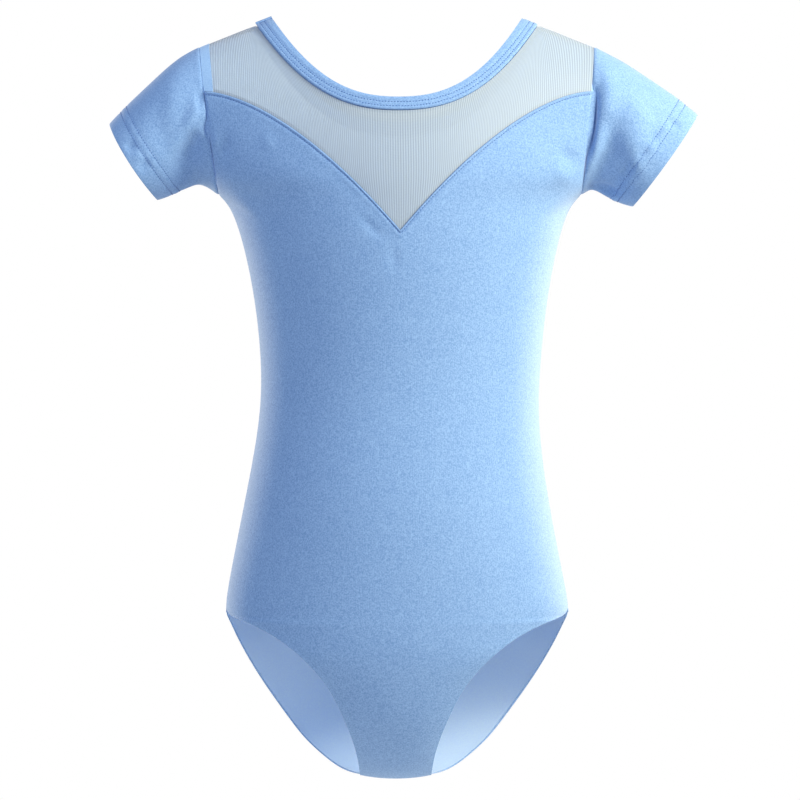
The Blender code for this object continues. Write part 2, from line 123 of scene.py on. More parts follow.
# Painted light: the wrong side is coloured far paler than the knit's own back, so the shaded inside looks
# lit.
WRONG_SIDE_PAINTED_LIGHT_DARKER = "b6d4ff"
WRONG_SIDE_PAINTED_LIGHT_PALER = "bddbff"
# Painted light: the armhole allowances are lighter than the right side of the same jersey, against their
# shade.
ALLOWANCE_PAINTED_LIGHT_DARKER = "7fa8e2"
ALLOWANCE_PAINTED_LIGHT_PALER = "8db5ea"


def jersey(name, dark, light):
    """A knit whose yarn is mottled between a darker and a lighter colour."""
    material, tree, shader, place = new_finish(name)
    where = [("Vector", place.outputs["Object"])]
    spots = add(tree, "TexNoise", where, Scale=1 / YARN_SPOT, Detail=1.0, Roughness=0.6)
    clouds = add(tree, "TexNoise", where, Scale=1 / CLOUD, Detail=2.0)
    mixed = add(tree, "Mix", [("A", spots.outputs["Fac"]), ("B", clouds.outputs["Fac"])], Factor=CLOUDS_SHOW)
    ramp = add(tree, "ValToRGB", [("Fac", mixed.outputs[0])])
    ramp.color_ramp.elements[0].position = 0.32
    ramp.color_ramp.elements[0].color = linear(dark)
    ramp.color_ramp.elements[1].position = 0.68
    ramp.color_ramp.elements[1].color = linear(light)
    tree.links.new(ramp.outputs["Color"], shader.inputs["Base Color"])
    wales = add(tree, "TexWave", [("Vector", place.outputs["UV"])], Scale=BANDS / WALE)
    knit = add(tree, "Mix", [("A", spots.outputs["Fac"]), ("B", wales.outputs["Fac"])], Factor=WALES_SHOW)
    bump = add(tree, "Bump", [("Height", knit.outputs[0])], Strength=0.25, Distance=LOOP_HEIGHT)
    tree.links.new(bump.outputs["Normal"], shader.inputs["Normal"])
    shader.inputs["Roughness"].default_value = 0.82
    shader.inputs["IOR"].default_value = 1.5
    shader.inputs["Specular IOR Level"].default_value = 0.3
    shader.inputs["Sheen Weight"].default_value = 0.12
    shader.inputs["Sheen Roughness"].default_value = 0.5
    shader.inputs["Sheen Tint"].default_value = linear(JERSEY_BLOOM)
    return material


jersey_right = jersey("cotton jersey right side", JERSEY_DARK, JERSEY_LIGHT)
jersey_wrong_side_with_painted_light = jersey("cotton jersey wrong side, paled with painted light", WRONG_SIDE_PAINTED_LIGHT_DARKER, WRONG_SIDE_PAINTED_LIGHT_PALER)
jersey_allowance_with_painted_light = jersey("cotton jersey of the seam allowances", ALLOWANCE_PAINTED_LIGHT_DARKER, ALLOWANCE_PAINTED_LIGHT_PALER)
print("finishes:", [finish.name for finish in (jersey_right, jersey_wrong_side_with_painted_light, jersey_allowance_with_painted_light)])

# %% [markdown]
# The yoke is a stretch net, a warp knit of nylon with upright ribs 1.9 mm apart and tiny holes between them.
# The holes are finer than the picture can show one by one, so the finish lets part of the light through:
# least on a rib, more between two. The ribs follow the piece's own map, in which they lean at the shoulders.

# %% Stretch net
RIB = 1.9 * MM
CROSS = 1.6 * MM
NET_RIB = "a4b9d4"
NET_GAP = "97acc8"
BARS_SHOW = 0.08
RIB_HEIGHT = 0.3 * MM
GAP_COVER = 0.53
RIB_COVER = 0.67


def net(name):
    """A see-through knit with upright ribs and faint bars across them."""
    material, tree, shader, place = new_finish(name)
    ribs = add(tree, "TexWave", [("Vector", place.outputs["UV"])], Scale=BANDS / RIB)
    bars = add(tree, "TexWave", [("Vector", place.outputs["UV"])], Scale=BANDS / CROSS, bands_direction="Y")
    mesh = add(tree, "Mix", [("A", ribs.outputs["Fac"]), ("B", bars.outputs["Fac"])], Factor=BARS_SHOW)
    ramp = add(tree, "ValToRGB", [("Fac", mesh.outputs[0])])
    ramp.color_ramp.elements[0].position = 0.2
    ramp.color_ramp.elements[0].color = linear(NET_GAP)
    ramp.color_ramp.elements[1].position = 0.8
    ramp.color_ramp.elements[1].color = linear(NET_RIB)
    tree.links.new(ramp.outputs["Color"], shader.inputs["Base Color"])
    cover = add(tree, "MapRange", [("Value", mesh.outputs[0])])
    cover.inputs["To Min"].default_value = GAP_COVER
    cover.inputs["To Max"].default_value = RIB_COVER
    tree.links.new(cover.outputs["Result"], shader.inputs["Alpha"])
    bump = add(tree, "Bump", [("Height", mesh.outputs[0])], Strength=0.3, Distance=RIB_HEIGHT)
    tree.links.new(bump.outputs["Normal"], shader.inputs["Normal"])
    shader.inputs["Roughness"].default_value = 0.6
    shader.inputs["IOR"].default_value = 1.53
    shader.inputs["Sheen Weight"].default_value = 0.2
    return material


stretch_net = net("stretch net")
print("finish:", stretch_net.name)

# %% [markdown]
# The sewing thread is spun polyester. Its colour is painted shade: it is coloured darker than the cloth,
# to stand for the shade of the needle holes and of the small pit that each stitch sits in.

# %% Sewing thread
THREAD_PAINTED_SHADE_COLOUR = "3f68ad"
TWIST = 0.5 * MM
TWIST_HEIGHT = 0.1 * MM
thread, thread_tree, thread_shader, thread_place = new_finish("polyester sewing thread, darkened with painted shade")
twist = add(thread_tree, "TexNoise", [("Vector", thread_place.outputs["Object"])], Scale=1 / TWIST)
height_of_twist = [("Height", twist.outputs["Fac"])]
twist_bump = add(thread_tree, "Bump", height_of_twist, Strength=0.3, Distance=TWIST_HEIGHT)
thread_tree.links.new(twist_bump.outputs["Normal"], thread_shader.inputs["Normal"])
# Painted shade: the thread is coloured darker than the cloth, for the shade of its needle holes and pits.
thread_shader.inputs["Base Color"].default_value = linear(THREAD_PAINTED_SHADE_COLOUR)
thread_shader.inputs["Roughness"].default_value = 0.55
print("finish:", thread.name)

# %% [markdown]
# Every solid is a closed shell with an outer wall, an inner wall and narrow rims. Only the outer wall is
# wanted. A copy has its doubled points merged, one face of the outer wall is picked, and the selection grows
# over all faces that meet it at less than a sharp angle. It stops at the rims, so the rest can be deleted.

# %% Peel the outer wall off a solid
WELD = 0.01 * MM
RIM_ANGLE = math.radians(55)


def work_on(piece):
    """Makes this piece the only one that operators act on."""
    bpy.ops.object.select_all(action="DESELECT")
    piece.select_set(True)
    bpy.context.view_layer.objects.active = piece


def show(piece):
    """Puts the piece in the scene."""
    bpy.context.scene.collection.objects.link(piece)
    return piece


def peel(node, name, eye, towards):
    """The outer wall of a solid as one open sheet of triangles, from the face that a ray meets first."""
    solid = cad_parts[node].data
    mesh = bpy.data.meshes.new(name)
    mesh.from_pydata([v.co for v in solid.vertices], [], [list(p.vertices) for p in solid.polygons])
    piece = show(bpy.data.objects.new(name, mesh))
    work_on(piece)
    bpy.ops.object.mode_set(mode="EDIT")
    bpy.ops.mesh.select_mode(type="FACE")
    bpy.ops.mesh.select_all(action="SELECT")
    bpy.ops.mesh.remove_doubles(threshold=WELD)
    bpy.ops.mesh.select_all(action="DESELECT")
    bpy.ops.object.mode_set(mode="OBJECT")
    met = piece.ray_cast(Vector(eye) * MM, Vector(towards))[3]
    mesh.polygons[met].select = True
    bpy.ops.object.mode_set(mode="EDIT")
    bpy.ops.mesh.faces_select_linked_flat(sharpness=RIM_ANGLE)
    bpy.ops.mesh.select_mode(type="VERT")
    bpy.ops.mesh.select_mode(type="FACE")
    bpy.ops.mesh.select_all(action="INVERT")
    bpy.ops.mesh.delete(type="FACE")
    bpy.ops.object.mode_set(mode="OBJECT")
    print(name, "points:", len(mesh.vertices), "triangles:", len(mesh.polygons))
    return piece


# %% [markdown]
# The sheet is made of triangles, in rows and columns that follow the cloth. Joined back to four-sided faces
# they round off evenly under a Subdivision Surface, so the rows are read back, strip by strip.
# Between one row and the next the strip is crossed like the rungs of a ladder: from each rung,
# the triangle ahead shows whether the next point belongs to the lower row or to the upper one.

# %% Read the rows back
def climb(row, first, points, faces_at, used, closed):
    """The row of points above this one, crossing the strip of triangles between them rung by rung."""
    lower = row + row[:1] if closed else row
    upper = [first]
    i = 0
    while True:
        rung = {lower[i], upper[-1]}
        ahead = [face for face in faces_at[frozenset(rung)] if face not in used]
        if not ahead:
            return upper[:-1] if closed else upper
        thirds = {next(v for v in face if v not in rung): face for face in ahead}
        onward = points[lower[min(i + 1, len(lower) - 1)]]
        third = min(thirds, key=lambda v: np.linalg.norm(points[v] - onward))
        used.add(thirds[third])
        if i + 1 < len(lower) and third == lower[i + 1]:
            i += 1
        else:
            upper.append(third)


def read_rows(piece, start, end=None):
    """The sheet's points in rows and columns.

    The lowest row runs from start to end, or round a tube from start."""
    points = np.array([v.co for v in piece.data.vertices])
    faces_at = {}
    for polygon in piece.data.polygons:
        face = tuple(polygon.vertices)
        for edge in (face[:2], face[1:], face[::2]):
            faces_at.setdefault(frozenset(edge), []).append(face)
    neighbours, open_ends = {}, {}
    for edge, faces in faces_at.items():
        for v in edge:
            neighbours.setdefault(v, []).extend(edge - {v})
            if len(faces) == 1:
                open_ends.setdefault(v, []).extend(edge - {v})

    def nearest(place, among):
        return min(among, key=lambda v: np.linalg.norm(points[v] - place))

    first = nearest(np.array(start) * MM, open_ends)
    last = first if end is None else nearest(np.array(end) * MM, open_ends)
    walks = []
    for onward in open_ends[first]:
        walk = [first, onward]
        while walk[-1] != last:
            walk.append(next(v for v in open_ends[walk[-1]] if v != walk[-2]))
        walks.append(walk)
    row = min(walks, key=len) if end else max(walks, key=lambda walk: points[walk[1]][1])[:-1]
    rows, used, taken = [row], set(), set(row)
    while len(taken) < len(points):
        around = open_ends if end else neighbours
        above = nearest(points[rows[-1][0]], [v for v in around[rows[-1][0]] if v not in taken])
        rows.append(climb(rows[-1], above, points, faces_at, used, end is None))
        taken.update(rows[-1])
    return np.array([[points[v] for v in row] for row in rows])


# %% [markdown]
# With rows and columns known, each sheet is built again from four-sided faces, and its map comes for free:
# the distance along the rows and up the columns, which is how the knit lies on the flat cut.

# %% Build a sheet from its rows
def sheet_from(name, rows, closed=False):
    """A sheet of four-sided faces with a map in metres, measured from the middle of its rows."""
    rows = np.asarray(rows, float)
    high, wide = rows.shape[:2]
    ring = np.concatenate([rows, rows[:, :1]], axis=1) if closed else rows
    across = np.linalg.norm(np.diff(ring, axis=1), axis=2).mean(axis=0).cumsum()
    up = np.linalg.norm(np.diff(rows, axis=0), axis=2).mean(axis=1).cumsum()
    across = np.concatenate([[0.0], across]) - across[-1] / 2
    up = np.concatenate([[0.0], up])
    faces, flat = [], []
    for r in range(high - 1):
        for c in range(len(across) - 1):
            d = (c + 1) % wide
            faces.append((r * wide + c, r * wide + d, (r + 1) * wide + d, (r + 1) * wide + c))
            left, right, low, top = across[c], across[c + 1], up[r], up[r + 1]
            flat += [(left, low), (right, low), (right, top), (left, top)]
    mesh = bpy.data.meshes.new(name)
    mesh.from_pydata([list(p) for p in rows.reshape(-1, 3)], [], faces)
    mesh.uv_layers.new(name="knit").data.foreach_set("uv", np.array(flat).ravel())
    piece = show(bpy.data.objects.new(name, mesh))
    widest = np.linalg.norm(np.diff(ring, axis=1), axis=2).sum(axis=1).max()
    tallest = np.linalg.norm(np.diff(rows, axis=0), axis=2).sum(axis=0).max()
    print(name, "rows and columns:", high, wide)
    print("widest and tallest, mm:", round(widest / MM), round(tallest / MM))
    return piece


def finish_with(piece, kind, **settings):
    """Adds one modifier with its settings and applies it."""
    work_on(piece)
    modifier = piece.modifiers.new(kind.lower(), kind)
    for name, value in settings.items():
        setattr(modifier, name, value)
    bpy.ops.object.modifier_apply(modifier=modifier.name)


# %% [markdown]
# A seam is not a bare edge. Along the yoke the jersey is folded under, so its edge is round and catches the
# light, and the needle pulls it down just beside. Beside the other seams the cloth sinks a little into the
# join, and between the two needle rows of a hem it stands up. Each seam is a short table of distances from
# the edge and heights in millimetres. Extra rows of points are put in at those distances, close together,
# so that the Subdivision Surface keeps them crisp.

# %% Shape the edges
CLEAR = 0.6
NOT_ZERO = 1e-12


def beside(rows, distance, from_top=True):
    """A line at this distance, in millimetres, from the last row of points or from the first one."""
    line = []
    for column in np.swapaxes(rows[::-1] if from_top else rows, 0, 1):
        travelled = np.concatenate([[0.0], np.linalg.norm(np.diff(column, axis=0), axis=1).cumsum()])
        line.append([np.interp(distance * MM, travelled, column[:, i]) for i in range(3)])
    return np.array(line)


def outward(rows, closed=False):
    """The direction out of the cloth at each of its points."""
    wide = np.concatenate([rows[:, -1:], rows, rows[:, :1]], axis=1) if closed else rows
    across = np.gradient(wide, axis=1)
    across = across[:, 1:-1] if closed else across
    out = np.cross(across, np.gradient(rows, axis=0))
    out /= np.linalg.norm(out, axis=2, keepdims=True) + NOT_ZERO
    middle = rows.reshape(-1, 3).mean(axis=0)
    return out if ((rows - middle) * out).sum() > 0 else -out


def shape_edge(rows, profile, at_top=True, closed=False, squeeze=False):
    """The rows with extra ones near an edge, lifted by the profile's (distance, height) pairs.

    Rows within the profile's reach give way to it. With squeeze only the last one does, and the profile
    shrinks wherever the next row is nearer than that."""
    rows = rows if at_top else rows[::-1]
    reach = profile[-1][0] + CLEAR
    away = np.linalg.norm(np.diff(rows[::-1], axis=0), axis=2).cumsum(axis=0) / MM
    dropped = 0 if squeeze else min(int((away.min(axis=1) < reach).sum()), len(rows) - 2)
    kept = rows[: len(rows) - 1 - dropped]
    shrink = np.minimum(away[dropped] / reach, 1.0)
    shares, share_at = np.unique(shrink, return_inverse=True)
    near = []
    for distance, _ in reversed(profile):
        lines = [beside(rows, distance * share) for share in shares]
        near.append([lines[i][c] for c, i in enumerate(share_at)])
    both = np.concatenate([kept, near])
    lift = np.concatenate([np.zeros(len(kept)), [height * MM for _, height in reversed(profile)]])
    both = both + outward(both, closed) * lift[:, None, None]
    return both if at_top else both[::-1]


def shape_sides(rows, left, right):
    """The same for the first and the last column."""
    turned = shape_edge(np.swapaxes(rows, 0, 1), left, at_top=False, squeeze=True)
    return np.swapaxes(shape_edge(turned, right, squeeze=True), 0, 1)


# %% [markdown]
# Now the pieces are made: outer wall, rows, seams, four-sided faces, and a smooth surface over them.

# %% Make a cut piece
def cut_piece(node, name, eye, towards, start, end):
    """The rows of a solid's outer wall."""
    outer = peel(node, name, eye, towards)
    rows = read_rows(outer, start, end)
    bpy.data.objects.remove(outer)
    return rows


def smooth_sheet(name, rows, levels, closed=False, pointed_rows=()):
    """The sheet with a smooth surface.

    The pointed rows keep a sharp fold in their middle column, and the first of them a sharp corner."""
    piece = sheet_from(name, rows, closed)
    if pointed_rows:
        corners = [row * len(rows[0]) + len(rows[0]) // 2 for row in pointed_rows]
        pinned = piece.data.attributes.new("crease_vert", "FLOAT", "POINT")
        pinned.data[corners[0]].value = 1.0
        sharp = piece.data.attributes.new("crease_edge", "FLOAT", "EDGE")
        for edge in piece.data.edges:
            if set(edge.vertices) <= set(corners):
                sharp.data[edge.index].value = 1.0
    facing = piece.data.polygons[0]
    out = outward(rows, closed)[0, 0]
    if facing.normal.dot(Vector(out)) < 0:
        piece.data.flip_normals()
    finish_with(piece, "SUBSURF", levels=levels, render_levels=levels, boundary_smooth="PRESERVE_CORNERS")
    return piece


# %% The cut pieces
FORWARD, BACKWARD = (0, 1, 0), (0, -1, 0)
CROTCH = ((-26, 9, -530), (24, 9, -530))
YOKE_ENDS = ((-135, -37, -55), (135, -37, -55))
YOKE_NEEDLE = 2.3
HEM_NEEDLES = (11.4, 17.0)
BAND_NEEDLES = (2.7, 5.8)
FOLDED_EDGE = [
    (0.0, 0.15), (0.7, 0.65), (1.5, 0.35), (YOKE_NEEDLE, -0.3),
    (3.2, 0.2), (5.5, 0.3), (8.0, 0.0),
]
SEWN_EDGE = [(0.0, -0.5), (0.8, -0.1), (2.0, 0.2), (5.0, 0.0)]
HEM_EDGE = [
    (0.0, -0.2), (0.8, 0.1), (5.0, 0.2), (9.5, 0.15), (HEM_NEEDLES[0], -0.2),
    (13.0, 0.25), (15.4, 0.25), (HEM_NEEDLES[1], -0.2), (19.0, 0.1), (22.0, 0.0),
]
BAND_EDGE = [
    (0.0, -0.3), (0.6, 0.35), (1.7, 0.45), (BAND_NEEDLES[0], 0.1),
    (4.2, 0.45), (BAND_NEEDLES[1], 0.1), (7.3, 0.5), (8.5, 0.4),
]
ROWS_BELOW_FOLD = 3


def sleeve(name, rows):
    """A sleeve with its hem and its seam to the body."""
    shaped = shape_edge(shape_edge(rows, HEM_EDGE, True, True), SEWN_EDGE, False, True)
    return smooth_sheet(name, shaped, 2, True)


front_rows = cut_piece("body_front", "front_outer", (0, -300, -300), FORWARD, *CROTCH)
back_rows = cut_piece("body_back", "back_outer", (0, 300, -300), BACKWARD, *CROTCH)
yoke_rows = cut_piece("yoke_front", "yoke_outer", (0, -300, -110), FORWARD, *YOKE_ENDS)
right_rows = cut_piece("sleeve_right", "right_outer", (-165, -300, -80), FORWARD, (-125, 0, -124), None)
left_rows = cut_piece("sleeve_left", "left_outer", (165, -300, -80), FORWARD, (129, 0, -124), None)
band_rows = cut_piece("neck_binding", "band_outer", (0, -300, -64), FORWARD, (0, 80, -75), None)

front_shaped = shape_sides(shape_edge(front_rows, FOLDED_EDGE), SEWN_EDGE, SEWN_EDGE)
from_tip = range(len(front_shaped) - 1, len(front_shaped) - len(FOLDED_EDGE) - ROWS_BELOW_FOLD - 1, -1)
front = smooth_sheet("front_panel", front_shaped, 2, pointed_rows=from_tip)
back = smooth_sheet("back_panel", shape_sides(shape_edge(back_rows, SEWN_EDGE), SEWN_EDGE, SEWN_EDGE), 2)
yoke = smooth_sheet("net_yoke", yoke_rows, 3, pointed_rows=(0,))
sleeve_right = sleeve("sleeve_of_right_arm", right_rows)
sleeve_left = sleeve("sleeve_of_left_arm", left_rows)
binding = smooth_sheet("neck_band", shape_edge(band_rows, BAND_EDGE, False, True), 2, True)

# %% [markdown]
# Creases are soft. Each is a line of points where the camera sees it on the cloth, or a second eye straight
# behind the garment for its back. The cloth near the line sinks or rises, most on the line and less away
# from it, and the line fades towards both ends. Each has its own length, depth and width.

# %% Press creases
PATH_STEP = 1.0
EVENED = 6
HALF_DEPTH = 60
FULL_SHARE = (0.02, 0.98)
FADE_POWER = 0.7


def on_cloth(piece, x, z, side=-1):
    """The point of the cloth seen at x and z, in millimetres, from the front (-1) or the back (1)."""
    eye = Vector((EYE.x, side * -EYE.y, EYE.z))
    aim = Vector((x * MM, 0.0, z * MM)) - eye
    hit, point, normal, _ = piece.ray_cast(eye, aim.normalized())
    if not hit:
        _, point, normal, _ = piece.closest_point_on_mesh(Vector((x * MM, side * HALF_DEPTH * MM, z * MM)))
    return np.array(point), np.array(normal)


def resample(points, step):
    """The line through the points, again with points `step` apart."""
    points = np.asarray(points, float)
    lengths = np.linalg.norm(np.diff(points, axis=0), axis=1)
    travelled = np.concatenate([[0.0], np.cumsum(lengths)])
    count = max(int(round(travelled[-1] / step)), 1)
    at = np.linspace(0, travelled[-1], count + 1)
    return np.stack([np.interp(at, travelled, points[:, i]) for i in range(points.shape[1])], axis=1)


def press(piece, line, depth, width, side=-1):
    """Sinks the cloth along a line of (x, z) by `depth` at its middle; a negative depth is a ridge."""
    hits = [on_cloth(piece, x, z, side) for x, z in resample(line, PATH_STEP)]
    path = np.array([point for point, _ in hits])
    facing = np.array([normal for _, normal in hits])
    out = [facing[max(i - EVENED, 0) : i + EVENED + 1].mean(axis=0) for i in range(len(facing))]
    mesh = piece.data
    co = np.zeros(len(mesh.vertices) * 3)
    mesh.vertices.foreach_get("co", co)
    co = co.reshape(-1, 3)
    apart = np.linalg.norm(co[:, None, :] - path[None, :, :], axis=2)
    nearest = apart.argmin(axis=1)
    fade = np.sin(np.clip(nearest / (len(path) - 1), *FULL_SHARE) * math.pi) ** FADE_POWER
    sink = depth * MM * fade * np.exp(-((apart.min(axis=1) / (width * MM)) ** 2))
    mesh.vertices.foreach_set("co", (co - np.array(out)[nearest] * sink[:, None]).ravel())
    mesh.update()


def press_all(piece, creases, side=-1, deeper=1.0, wider=1.0):
    """Presses a list of creases, all of them deeper and wider by these shares."""
    for line, depth, width in creases:
        press(piece, line, depth * deeper, width * wider, side)


# %% [markdown]
# Each crease below is its line of (x, z) points, its depth and its width. The hidden back of a sleeve
# repeats those of its front that run on round the arm, shallower and wider.

# %% Creases of the left arm's sleeve
LEFT_SLEEVE_CREASES = [
    ([(138, -48), (136, -70), (133, -96)], 6.5, 3.2),
    ([(144, -28), (148, -48), (145, -70)], -2.4, 6.0),
    ([(151, -66), (149, -94), (137, -115)], 3.6, 8.0),
    ([(144, -74), (133, -110)], -2.4, 4.0),
    ([(168, -56), (176, -64), (184, -74)], 1.2, 5.0),
    ([(198, -76), (189, -70)], 1.8, 2.8),
    ([(191, -80), (184, -74)], -0.9, 2.6),
    ([(184, -86), (176, -80)], 1.1, 3.0),
    ([(176, -96), (167, -89)], 1.1, 3.4),
    ([(171, -103), (163, -97)], -1.0, 2.6),
    ([(167, -112), (157, -105)], 1.6, 3.4),
    ([(174, -106), (168, -101)], -1.0, 3.4),
    ([(182, -93), (175, -88)], -0.9, 3.2),
    ([(150, -108), (160, -122)], 1.4, 4.0),
    ([(134, -116), (146, -120), (158, -124)], 4.5, 6.5),
    ([(166, -46), (169, -76), (171, -104)], -5.0, 13.0),
    ([(157, -76), (168, -97), (162, -118)], -2.6, 9.0),
]
press_all(sleeve_left, LEFT_SLEEVE_CREASES)
press_all(sleeve_left, LEFT_SLEEVE_CREASES[2:-4], side=1, deeper=0.6, wider=1.1)

# %% Creases of the right arm's sleeve
RIGHT_SLEEVE_CREASES = [
    ([(-135, -54), (-147, -76), (-159, -96)], -3.0, 5.0),
    ([(-139, -78), (-146, -94), (-151, -118)], 4.6, 9.0),
    ([(-134, -56), (-133, -72), (-132, -86)], 3.6, 2.8),
    ([(-164, -48), (-168, -72), (-160, -96)], 1.2, 7.0),
    ([(-190, -92), (-183, -87)], 1.4, 3.0),
    ([(-186, -99), (-178, -94)], -0.7, 2.8),
    ([(-181, -106), (-173, -100)], 1.3, 2.8),
]
press_all(sleeve_right, RIGHT_SLEEVE_CREASES)
press_all(sleeve_right, RIGHT_SLEEVE_CREASES[1:], side=1, deeper=0.8, wider=1.1)

# %% Creases of the body
FRONT_CREASES = [
    ([(113, -92), (128, -102)], 2.0, 5.0),
    ([(108, -104), (122, -114)], -1.2, 5.0),
    ([(-128, -80), (-125, -92)], -1.2, 4.0),
    ([(-122, -82), (-120, -98)], 1.6, 4.0),
    ([(-93, -80), (-88, -92)], -0.8, 4.0),
    ([(-8, -152), (-16, -148), (-26, -138)], 0.9, 3.5),
    ([(-1, -160), (-3, -176)], 0.7, 3.0),
]
BACK_CREASES = [
    ([(112, -90), (128, -104)], 1.0, 5.0),
    ([(-112, -92), (-127, -103)], 1.2, 5.5),
    ([(-60, -260), (-10, -270), (52, -262)], 0.7, 8.0),
    ([(-40, -292), (20, -298), (66, -288)], 0.5, 7.0),
]
press_all(front, FRONT_CREASES)
press_all(back, BACK_CREASES, side=1)
CREASES = [LEFT_SLEEVE_CREASES, RIGHT_SLEEVE_CREASES, FRONT_CREASES, BACK_CREASES]
print("creases:", sum(len(group) for group in CREASES))

# %% [markdown]
# Stitches run beside the edges of the pieces, at the distances where the needle pulled the cloth down.

# %% Set a line on the cloth
LINE_STEP = 1.5 * MM


def on_piece(piece, line, closed=False):
    """The line set on the cloth, with the cloth's outward directions beside it."""
    line = np.concatenate([line, line[:1]]) if closed else line
    hits = [piece.closest_point_on_mesh(Vector(p)) for p in resample(line, LINE_STEP)]
    return np.array([h[1] for h in hits]), np.array([h[2] for h in hits])


def needle_rows(piece, rows, distances, from_top=True):
    """Lines all round a tube, at these distances from its edge."""
    return [on_piece(piece, beside(rows, distance, from_top), True) for distance in distances]


# %% [markdown]
# A stitch is a grain of thread, thick in its middle. It is modelled once from a sphere with few faces,
# and its copies are laid end to end along each line, half sunk in the cloth, in one mesh for each seam.

# %% One stitch
STITCH_LENGTH = 1.35 * MM
STITCH_RADIUS = 0.4 * MM
STITCH_FLATNESS = 0.8
PITCH = 2.1 * MM
bpy.ops.object.select_all(action="DESELECT")
bpy.ops.mesh.primitive_uv_sphere_add(segments=6, ring_count=4, radius=STITCH_RADIUS)
stitch = bpy.context.object
bpy.ops.object.mode_set(mode="EDIT")
bpy.ops.mesh.select_all(action="SELECT")
bpy.ops.transform.resize(value=(1.0, STITCH_FLATNESS, STITCH_LENGTH / STITCH_RADIUS / 2))
bpy.ops.object.mode_set(mode="OBJECT")
stitch_points = np.array([v.co for v in stitch.data.vertices])
stitch_faces = [list(p.vertices) for p in stitch.data.polygons]
bpy.data.objects.remove(stitch)


def sew(name, rows, pitch=PITCH):
    """One mesh of stitches along rows of (points, outward directions)."""
    points, faces = [], []
    for line, facing in rows:
        travelled = np.concatenate([[0.0], np.linalg.norm(np.diff(line, axis=0), axis=1).cumsum()])
        for at in np.arange(pitch / 2, travelled[-1], pitch):
            here, there, up = [
                np.array([np.interp(at + step, travelled, values[:, i]) for i in range(3)])
                for step, values in ((-pitch / 4, line), (pitch / 4, line), (0.0, facing))
            ]
            along = (there - here) / np.linalg.norm(there - here)
            side = np.cross(along, up)
            start = len(points)
            points.extend((here + there) / 2 + stitch_points @ np.array([side, up, along]))
            faces.extend([[i + start for i in face] for face in stitch_faces])
    mesh = bpy.data.meshes.new(name)
    mesh.from_pydata([list(p) for p in points], [], faces)
    mesh.shade_smooth()
    mesh.materials.append(thread)
    print(name, "stitches:", len(faces) // len(stitch_faces))
    return show(bpy.data.objects.new(name, mesh))


# %% Rows of stitches
yoke_stitches = sew("yoke_seam_stitches", [on_piece(front, beside(front_rows, YOKE_NEEDLE))])
right_hem_rows = needle_rows(sleeve_right, right_rows, HEM_NEEDLES)
left_hem_rows = needle_rows(sleeve_left, left_rows, HEM_NEEDLES)
hem_stitches_right = sew("hem_stitches_of_right_sleeve", right_hem_rows)
hem_stitches_left = sew("hem_stitches_of_left_sleeve", left_hem_rows)
band_stitches = sew("neck_band_stitches", needle_rows(binding, band_rows, BAND_NEEDLES, False))

# %% [markdown]
# Inside, every seam leaves strips of cloth folded back, the seam allowances. Each is laid along the edge of
# the piece that hides it, a little below it, and closes the fine gap of the seam. The one at the right
# armhole lies on the net, as a band of deeper blue. The net has its own allowance below the neck band, which
# keeps the daylight over the lower neckline of the back from showing through.

# %% Seam allowances
BELOW, BACK_BELOW, BAND_BELOW, ON_NET = 1.3, 2.0, 2.2, -0.25
SHOULDER_COLUMNS = 5
NECK_COLUMNS = slice(2, -2)
HIP_ROW = 16


def allowance(name, rows, distances, below=BELOW, closed=False):
    """A strip beside the last row, between two distances in millimetres; a negative one is past the edge."""
    inner, outer = max(distances), min(distances)
    edge = beside(rows, 0.0)
    step_in = beside(rows, inner)
    past = edge + (edge - step_in) * (-outer / inner if outer < 0 else 0.0)
    strip = np.array([step_in, (step_in + edge) / 2, edge, past])
    strip = strip - outward(rows, closed)[-1][None] * below * MM
    piece = sheet_from(name, strip, closed)
    finish_with(piece, "SUBSURF", levels=2, render_levels=2, boundary_smooth="PRESERVE_CORNERS")
    return piece


yoke_side = np.swapaxes(yoke_rows, 0, 1)
front_side = np.swapaxes(front_rows[HIP_ROW:], 0, 1)
back_side = np.swapaxes(back_rows[HIP_ROW:], 0, 1)
armhole_strip_right = allowance("armhole_allowance_right", yoke_side[::-1], (-0.2, 6.5), ON_NET)
armhole_strip_left = allowance("armhole_allowance_left", yoke_side, (-2.0, 2.6))
yoke_strip = allowance("yoke_seam_allowance", front_rows, (-2.5, 6.0))
neck_strip = allowance("neck_seam_allowance", band_rows[::-1], (-1.8, 3.0), BAND_BELOW, True)
net_strip = allowance("net_allowance_at_neck", yoke_rows[:, NECK_COLUMNS], (-2.0, 8.0))
side_strips = [
    allowance("side_allowance_right", front_side[::-1], (-4.0, 5.0)),
    allowance("side_allowance_left", front_side, (-4.0, 5.0)),
]
back_strips = [
    allowance("back_allowance_right", back_side[::-1], (-4.0, 5.0), BACK_BELOW),
    allowance("back_allowance_left", back_side, (-4.0, 5.0), BACK_BELOW),
]
shoulder_strips = [
    allowance("shoulder_allowance_right", yoke_rows[:, :SHOULDER_COLUMNS], (-1.5, 3.0)),
    allowance("shoulder_allowance_left", yoke_rows[:, -SHOULDER_COLUMNS:], (-1.5, 3.0)),
]

# %% [markdown]
# The band round the neck is closed at the right shoulder, where its end is folded over the join as a small
# loop and sewn down. The loop crosses the band, and its shape is a table of distances and heights.

